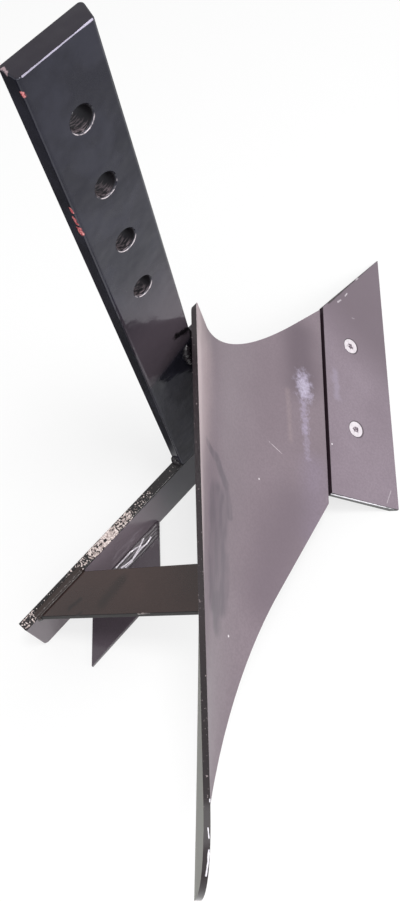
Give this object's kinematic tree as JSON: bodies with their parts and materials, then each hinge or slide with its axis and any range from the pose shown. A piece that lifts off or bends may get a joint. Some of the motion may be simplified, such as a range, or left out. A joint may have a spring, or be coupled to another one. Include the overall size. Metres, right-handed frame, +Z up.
{
  "type": "moldboard plough",
  "caption": "Right-hand moldboard plough for a walking tractor: drilled flat-bar shank, landside, bolted share and a twisted moldboard stayed by a rear brace.",
  "frame": {"origin": "on the floor under the middle of the plough's bounding box", "axes": "+Y forward along the travel, +X to the right towards the furrow, +Z up"},
  "size_m": [0.2834, 0.552, 0.4935],
  "materials": {
    "shank_paint": "gloss black paint, lightly chipped on the edges",
    "landside_paint": "gloss black paint, chipped along the top edge",
    "frame_paint": "gloss black paint",
    "brace_paint": "gloss black paint",
    "board_paint": "dusty gloss black paint with smears",
    "share_paint": "dusty gloss black paint, bright along the edges",
    "zinc": "bright zinc plate"
  },
  "bodies": {
    "root": {"shank": "shank_paint", "landside": "landside_paint", "sole_plate": "frame_paint", "frog": "frame_paint", "rear_brace": "brace_paint", "neck_gusset": "frame_paint", "moldboard": "board_paint", "share": "share_paint", "share_bolt_front": "zinc", "share_bolt_rear": "zinc", "share_nut_front": "zinc", "share_nut_rear": "zinc"}
  },
  "joints": []
}
